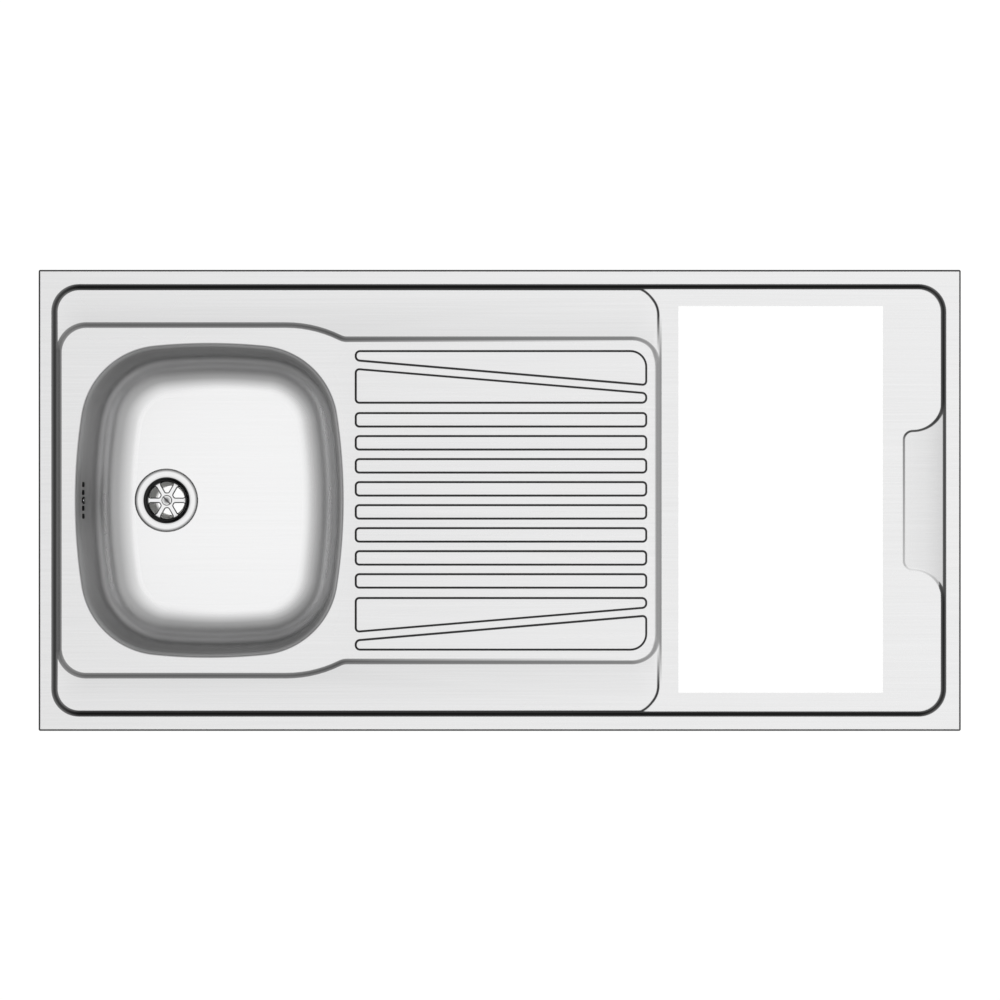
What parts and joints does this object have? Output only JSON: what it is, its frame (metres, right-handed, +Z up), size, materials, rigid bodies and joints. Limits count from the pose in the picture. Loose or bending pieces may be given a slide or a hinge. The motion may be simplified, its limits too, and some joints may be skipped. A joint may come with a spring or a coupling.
{
  "type": "kitchen sink with drainboard",
  "caption": "Lay-on stainless steel kitchen sink top with bowl, ribbed drainer and hob cut-out, on a timber frame, with waste, overflow and swinging fixing lugs.",
  "frame": {"origin": "middle of the plan, on the plane of the hem that rests on the cabinet", "axes": "+X along the length, from the bowl to the hob cut-out; +Y to the wall; +Z up"},
  "size_m": [1.2, 0.6, 0.2373],
  "materials": {
    "stainless_steel": "fine brushed grain along the length",
    "timber": "sawn and planed softwood, unfinished",
    "zinc_plated_steel": "bright zinc plating",
    "white_plastic": "satin moulded",
    "black_rubber": "matt",
    "damping_bitumen": "matt, slightly textured",
    "brass": "machined"
  },
  "bodies": {
    "sink": {"top_sheet": "stainless_steel", "bowl": "stainless_steel", "bowl_pad": "damping_bitumen", "drainer_pad": "damping_bitumen", "rear_batten": "timber", "front_batten": "timber", "left_batten": "timber", "right_batten": "timber", "bowl_crossbar": "timber", "hob_crossbar_left": "timber", "hob_crossbar_right": "timber", "crossbar_brackets": "zinc_plated_steel", "bracket_screws": "zinc_plated_steel", "lug_screws": "zinc_plated_steel", "earth_tab": "zinc_plated_steel", "strainer": "stainless_steel", "recess_seal": "black_rubber", "waste_screw": "stainless_steel", "waste_nut": "brass", "under_seal": "black_rubber", "waste_body": "white_plastic", "overflow_head": "white_plastic", "overflow_seal": "black_rubber", "overflow_screw": "stainless_steel", "overflow_pipe": "white_plastic", "upper_pipe_nut": "white_plastic", "lower_pipe_nut": "white_plastic", "pipe_seals": "black_rubber"},
    "lug_left_front": {"lug_left_front": "zinc_plated_steel"},
    "lug_left_rear": {"lug_left_rear": "zinc_plated_steel"},
    "lug_right_front": {"lug_right_front": "zinc_plated_steel"},
    "lug_right_rear": {"lug_right_rear": "zinc_plated_steel"}
  },
  "joints": [
    {"name": "lug_left_front_swing", "type": "hinge", "parent": "sink", "child": "lug_left_front", "pos_m": [-0.5815, -0.15, 0.0115], "axis": [1, 0, 0], "range_deg": [-90, 90]},
    {"name": "lug_left_rear_swing", "type": "hinge", "parent": "sink", "child": "lug_left_rear", "pos_m": [-0.5815, 0.15, 0.0115], "axis": [1, 0, 0], "range_deg": [-90, 90]},
    {"name": "lug_right_front_swing", "type": "hinge", "parent": "sink", "child": "lug_right_front", "pos_m": [0.5815, -0.15, 0.0115], "axis": [1, 0, 0], "range_deg": [-90, 90]},
    {"name": "lug_right_rear_swing", "type": "hinge", "parent": "sink", "child": "lug_right_rear", "pos_m": [0.5815, 0.15, 0.0115], "axis": [1, 0, 0], "range_deg": [-90, 90]}
  ]
}
